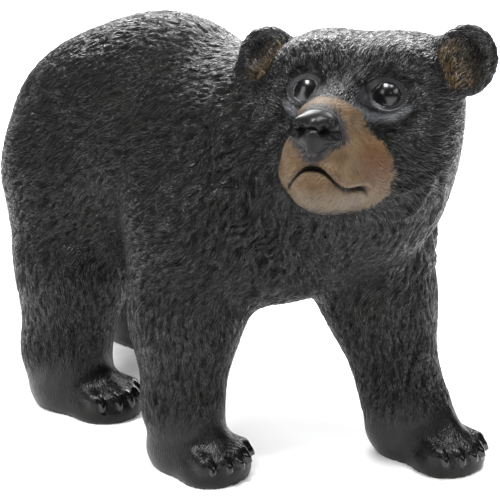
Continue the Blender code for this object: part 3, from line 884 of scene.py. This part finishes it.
def eye_masks(n, face):
    """The glossy ball inside the lids, and the skin of the lids."""
    spot = from_eyes_nodes(n, face)
    turn = np.radians(EYE_TILT)
    wide, high = EYE_OPENING
    x = n.vmath('DOT_PRODUCT', spot, (np.cos(turn) / wide, 0, -np.sin(turn) / wide), out="Value")
    z = n.vmath('DOT_PRODUCT', spot, (np.sin(turn) / high, 0, np.cos(turn) / high), out="Value")
    x = n.math('POWER', n.math('ABSOLUTE', x), 1.75)
    z = n.math('POWER', n.math('ABSOLUTE', z), 2.0)
    rim = n.spread(n.math('SQRT', n.math('ADD', x, z)), high, -high)
    front = n.ramp(n.axes(spot)[1], 10.0, 0.0)
    ball = n.times(n.ramp(rim, -0.7, -1.5), front)
    lids = n.times(n.ramp(rim, 4.0, 1.8), front)
    return ball, lids


def ball_share(n, place, centre, half):
    """1 on an ellipsoid's surface, less inside."""
    return n.vmath('LENGTH', n.vmath('DIVIDE', n.vmath('SUBTRACT', place, centre), half), out="Value")


def muzzle_mask(n, face, ragged):
    """The tan snout: back to a slanting line on the cheeks, down to the chin's edge."""
    x, y, z = n.axes(face)
    slant = n.math('POWER', n.math('ABSOLUTE', n.spread(z, 1 / 86, 80 / 86)), 2.0)
    edge = n.spread(slant, 63.0, 56.0)
    # the tan ends further forward on the cheek that the head turns away
    edge = n.math('ADD', edge, n.times(n.ramp(x, -8.0, -34.0), 18.0))
    inside = n.math('SUBTRACT', n.times(y, -1.0), edge)
    inside = n.math('MINIMUM', inside, n.math('ADD', z, 96.0))
    inside = n.math('ADD', inside, ragged)
    reach = ball_share(n, face, SNOUT_PLACE, SNOUT_REACH)
    return n.times(n.ramp(inside, -5.0, 5.0), n.ramp(reach, 1.0, 0.94))


def nose_pad_share(n, face):
    """1 round the edge of the nose's bare skin, which narrows towards the lip."""
    x, y, z = n.axes(face)
    x = n.times(x, n.spread(n.ramp(z, -31.0, -48.0), 1.1, 1.0))
    return ball_share(n, n.point(x, y, z), (0, -146, -27), (24.5, 19, 19.5))


def nostril_mask(n, face):
    """The insides of the nostrils, which stay matt and take painted shade."""
    x, y, z = n.axes(face)
    mirrored = n.point(n.math('ABSOLUTE', x), y, z)
    return n.ramp(ball_share(n, mirrored, (10.5, -156, -27), (5.5, 14, 5)), 1.0, 0.8)


def under_eye_masks(n, face):
    """A painted highlight, a pale crescent on the bag under each eye, and painted shade in the hollow below
    it.
    """
    x, y, z = n.axes(from_eyes_nodes(n, face))
    out = n.math('SQRT', n.math('ADD', n.times(x, x), n.times(z, z)))
    below = n.times(n.ramp(z, -6.0, -14.0), n.ramp(y, 22.0, 10.0))
    off_bag = n.math('ABSOLUTE', n.math('SUBTRACT', out, BAG_RADIUS))
    off_hollow = n.math('ABSOLUTE', n.math('SUBTRACT', out, HOLLOW_RADIUS))
    bag_highlight = n.times(n.ramp(off_bag, 6.0, 2.0), below)
    hollow_shade = n.times(n.ramp(off_hollow, 11.0, 4.0), below)
    return bag_highlight, n.times(hollow_shade, n.ramp(x, -14.0, 2.0))


def surface_masks(n):
    """The place in the figure's units, the fine hairs, and where each paint goes."""
    place = n.vmath('SCALE', n.add("ShaderNodeTexCoord", out="Object"))
    place.node.inputs["Scale"].default_value = 1 / UNIT
    head_at = vec(*HEAD_PLACE) - vec(*OUTLINE_MIDDLE, 0)
    head_turn = Matrix(HEAD_SPIN.tolist()).to_euler('XYZ')
    face = n.add("ShaderNodeMapping", {"Vector": place, "Location": head_at.tolist(),
                                       "Rotation": head_turn}, vector_type='TEXTURE')
    way = n.vector("way")
    normal = n.add("ShaderNodeNewGeometry", out="Normal")
    side = n.vmath('NORMALIZE', n.vmath('CROSS_PRODUCT', normal, way))
    coarse = combed_hairs(n, place, way, side, cell=11, long=9, wide=2.1, shift=0)
    fine = combed_hairs(n, place, way, side, cell=8, long=6, wide=1.5, shift=31)
    hairs = n.most(coarse, n.times(fine, 0.85))
    ragged = n.spread(n.noise(place, 1 / 5, 3), 16.0, n.spread(hairs, 7.0, -11.5))
    pad_share = nose_pad_share(n, face)
    m = {name: n.mask(name) for name in PAINT_MASKS}
    m.update(place=place, face=face, hairs=hairs, muzzle=muzzle_mask(n, face, ragged))
    m["ball"], m["lids"] = eye_masks(n, face)
    m["pad"] = n.ramp(pad_share, 1.05, 0.98)
    m["smoke"] = n.ramp(n.spread(ragged, 0.022, pad_share), 1.70, 1.20)
    m["nostril"] = nostril_mask(n, face)
    m["jet"] = n.most(m["ball"], m["claw"])
    m["gloss"] = n.most(m["jet"], m["pad"])
    m["raised"] = n.times(n.ramp(n.mask("hair"), 0.1, 0.9), n.spread(hairs, 0.75, 0.25))
    return m


def coat_colour(n, m):
    """Black coat: painted shade between the hairs and a painted sheen on the raised hairs, browner in
    patches, with a painted highlight on the bags under the eyes and painted shade in the hollows below them.
    """
    coat = n.mix(n.ramp(n.noise(m["place"], 1 / 55), 0.42, 0.72), BLACK, UMBER)
    # painted sheen on the raised hairs, leaving painted shade between them
    coat = n.mix(n.times(m["raised"], 0.85), coat, PAINTED_SHEEN)
    bag_highlight, hollow_shade = under_eye_masks(n, m["face"])
    # painted highlight on the bag under each eye
    coat = n.mix(n.times(bag_highlight, n.spread(m["hairs"], 0.6, 0.35)), coat, BAG_HIGHLIGHT)
    # painted shade in the hollow below each bag
    return n.mix(n.times(hollow_shade, 0.75), coat, HOLLOW_SHADE)


def snout_colour(n, m):
    """Tan snout: beige above, rust-brown on the left cheek that is partly painted shade, greyer on the chin,
    with painted shade between the fine hairs, black feathered round the nose with a painted highlight on its
    hairs, and painted shade deep in the mouth.
    """
    patchy = n.noise(m["place"], 1 / 14, 4)
    height = n.axes(m["face"])[2]
    tan = n.mix(n.ramp(patchy, 0.30, 0.72), BEIGE, BROWN)
    # rust-brown on the left cheek: partly the paint's own tone, partly painted shade on the side away from
    # the light
    cheek = ball_share(n, m["face"], (30, -92, -52), (30, 34, 22))
    tan = n.mix(n.ramp(n.spread(patchy, 0.8, cheek), 1.7, 0.9), tan, RUST_AND_SHADE)
    tan = n.mix(n.times(n.ramp(height, -72.0, -92.0), 0.8), tan, CHIN_GREY)
    # painted shade between the fine hairs
    tan = n.mix(n.times(n.ramp(m["hairs"], 0.55, 0.05), 0.45), tan, TAN_CREVICE_SHADE)
    # black feathered round the nose, with a painted highlight on its hairs
    tan = n.mix(n.times(m["smoke"], 0.92), tan, n.mix(m["hairs"], SMOKE, SMOKE_HAIR_HIGHLIGHT))
    # painted shade where the carving sinks deep into the mouth
    between_lips_shade = n.times(n.ramp(n.mask("height"), -1.2, -3.4), n.ramp(height, -44.0, -52.0))
    return n.mix(between_lips_shade, tan, LIP_SHADE)


def whole_colour(n, m):
    colour = n.mix(m["muzzle"], coat_colour(n, m), snout_colour(n, m))
    colour = n.mix(n.times(m["ear_cup"], 0.8), colour, EAR_CUP)
    tuft = n.mix(n.ramp(m["hairs"], 0.15, 0.75), TUFT_GAP, OCHRE)
    colour = n.mix(n.times(m["ear_tuft"], 0.85), colour, tuft)
    colour = n.mix(n.times(m["lids"], 0.8), colour, LID_GREY)
    colour = n.mix(m["jet"], colour, JET)
    colour = n.mix(m["pad"], colour, NOSE_BLACK)
    # painted shade inside the nostrils
    return n.mix(m["nostril"], colour, NOSTRIL_SHADE)


def whole_roughness(n, m):
    """Satin paint, rougher between the hairs and on the snout, glossy on eyes and claws."""
    rough = n.blend(m["raised"], 0.60, 0.22)
    rough = n.blend(m["muzzle"], rough, 0.50)
    rough = n.blend(n.times(m["paw"], 0.85), rough, 0.36)
    rough = n.blend(m["lids"], rough, 0.30)
    rough = n.blend(m["pad"], rough, 0.36)
    rough = n.blend(m["nostril"], rough, 0.9)
    return n.blend(m["claw"], n.blend(m["ball"], rough, 0.20), 0.14)


def varnish_weight(n, m):
    """Clear varnish, whole on eyes and claws and worn off between the hairs."""
    varnish = n.blend(m["raised"], 0.0, 0.75)
    varnish = n.blend(m["muzzle"], varnish, 0.12)
    varnish = n.blend(n.times(m["paw"], 0.8), varnish, 0.45)
    varnish = n.blend(m["lids"], varnish, 0.5)
    varnish = n.blend(m["jet"], varnish, 1.0)
    return n.blend(m["nostril"], n.blend(m["pad"], varnish, 0.22), 0.0)


def fine_relief(n, m):
    """Bump of the finest hairs, fainter on paws and snout, with a little grain of the paint."""
    bare = n.most(m["gloss"], m["sole"], m["lids"])
    furred = n.math('SUBTRACT', 1.0, bare, clamp=True)
    furred = n.times(furred, n.spread(m["paw"], -0.7, 1.0))
    furred = n.times(furred, n.spread(m["muzzle"], -0.6, 1.0))
    grain = n.times(n.noise(m["place"], 0.7, 2), n.spread(m["gloss"], -0.25, 0.25))
    relief = n.spread(m["hairs"], furred, grain)
    return n.add("ShaderNodeBump", {"Strength": 1.0, "Distance": HAIR_DEPTH * UNIT, "Height": relief})


def painted_resin():
    material = bpy.data.materials.new("painted_resin_casting")
    n = Nodes(material)
    m = surface_masks(n)
    sockets = n.shader.inputs
    n.feed(sockets["Base Color"], whole_colour(n, m))
    n.feed(sockets["Roughness"], whole_roughness(n, m))
    n.feed(sockets["Coat Weight"], varnish_weight(n, m))
    sockets["Specular IOR Level"].default_value = BODY_SHINE
    sockets["Coat Roughness"].default_value = VARNISH_ROUGHNESS
    bump = fine_relief(n, m)
    n.feed(sockets["Normal"], bump)
    n.feed(sockets["Coat Normal"], bump)
    return material


# Studio

CAMERA_PLACE = (-1030.2, -1133.2, 692.7)    # drawing units
CAMERA_LOOK = (0.6607, 0.6841, -0.3090)
LENS = 108.0                                # mm, for the sensor below
SENSOR = 36.0
WORLD_GLOW = 0.05
FLOOR_GLOW = 0.17                           # lifts the pale floor to white
FLOOR_HALF = 6.0
FLOOR_DROP = 0.0002                         # keeps the floor clear of the soles

# Sun: the way to it, strength and size in degrees
SUN = ((-0.45, 0.10, 1.0), 3.1, 20)

# Soft boxes: place and target, size in metres and watts
BODY_MIDDLE = (0, 0, 0.17)
FACE_MIDDLE = (-0.07, -0.2, 0.28)
SOFT_BOXES = {
    "back": ((1.5, 1.5, 1.35), BODY_MIDDLE, (2.4, 1.2), 85),
    "top": ((0.1, -0.5, 2.0), BODY_MIDDLE, (1.2, 0.8), 40),
    "front": ((-0.1, -2.0, 1.3), BODY_MIDDLE, (0.7, 0.7), 7),
    "side": ((-2.2, 0.3, 1.0), BODY_MIDDLE, (0.8, 1.6), 14),
    "spark": ((-1.0, -1.35, 0.95), FACE_MIDDLE, (0.07, 0.07), 0.8),
}


def make_camera():
    camera = bpy.data.cameras.new("camera")
    camera.lens = LENS
    camera.sensor_width = SENSOR
    camera.clip_start = 0.05
    obj = bpy.data.objects.new("camera", camera)
    obj.location = to_metres(vec(*CAMERA_PLACE)).tolist()
    obj.rotation_euler = Vector(CAMERA_LOOK).to_track_quat('-Z', 'Y').to_euler()
    bpy.context.scene.collection.objects.link(obj)
    bpy.context.scene.camera = obj


def make_sun(towards, strength, width):
    light = bpy.data.lights.new("key", 'SUN')
    light.energy = strength
    light.angle = np.radians(width)
    obj = bpy.data.objects.new("key", light)
    obj.rotation_euler = Vector(towards).to_track_quat('Z', 'Y').to_euler()
    bpy.context.scene.collection.objects.link(obj)


def make_soft_box(name, place, target, size, energy):
    light = bpy.data.lights.new(name, 'AREA')
    light.shape = 'RECTANGLE'
    light.size, light.size_y = size
    light.energy = energy
    obj = bpy.data.objects.new(name, light)
    obj.location = place
    obj.rotation_euler = (Vector(target) - Vector(place)).to_track_quat('-Z', 'Y').to_euler()
    bpy.context.scene.collection.objects.link(obj)


def make_world():
    world = bpy.data.worlds.new("studio")
    world.use_nodes = True
    background = world.node_tree.nodes["Background"]
    background.inputs["Color"].default_value = (0.96, 0.98, 1.0, 1)
    background.inputs["Strength"].default_value = WORLD_GLOW
    bpy.context.scene.world = world


def pale_floor():
    material = bpy.data.materials.new("pale_floor")
    n = Nodes(material)
    cloud = n.noise(n.add("ShaderNodeTexCoord", out="Object"), 3.0)
    n.feed(n.shader.inputs["Base Color"], n.mix(cloud, (0.90, 0.90, 0.90, 1), (0.93, 0.93, 0.93, 1)))
    n.shader.inputs["Roughness"].default_value = 0.6
    n.shader.inputs["Emission Color"].default_value = (1, 1, 1, 1)
    n.shader.inputs["Emission Strength"].default_value = FLOOR_GLOW
    return material


def make_floor():
    mesh = bpy.data.meshes.new("floor")
    bm = bmesh.new()
    bmesh.ops.create_grid(bm, x_segments=1, y_segments=1, size=FLOOR_HALF)
    bm.to_mesh(mesh)
    bm.free()
    mesh.materials.append(pale_floor())
    floor = bpy.data.objects.new("floor", mesh)
    floor.location.z = -FLOOR_DROP
    bpy.context.scene.collection.objects.link(floor)


def make_studio():
    bpy.context.scene.view_settings.view_transform = 'Standard'
    make_world()
    make_sun(*SUN)
    for name, settings in SOFT_BOXES.items():
        make_soft_box(name, *settings)
    make_floor()


make_camera()
make_studio()
casting = make_casting()
casting.data.materials.clear()
casting.data.materials.append(painted_resin())
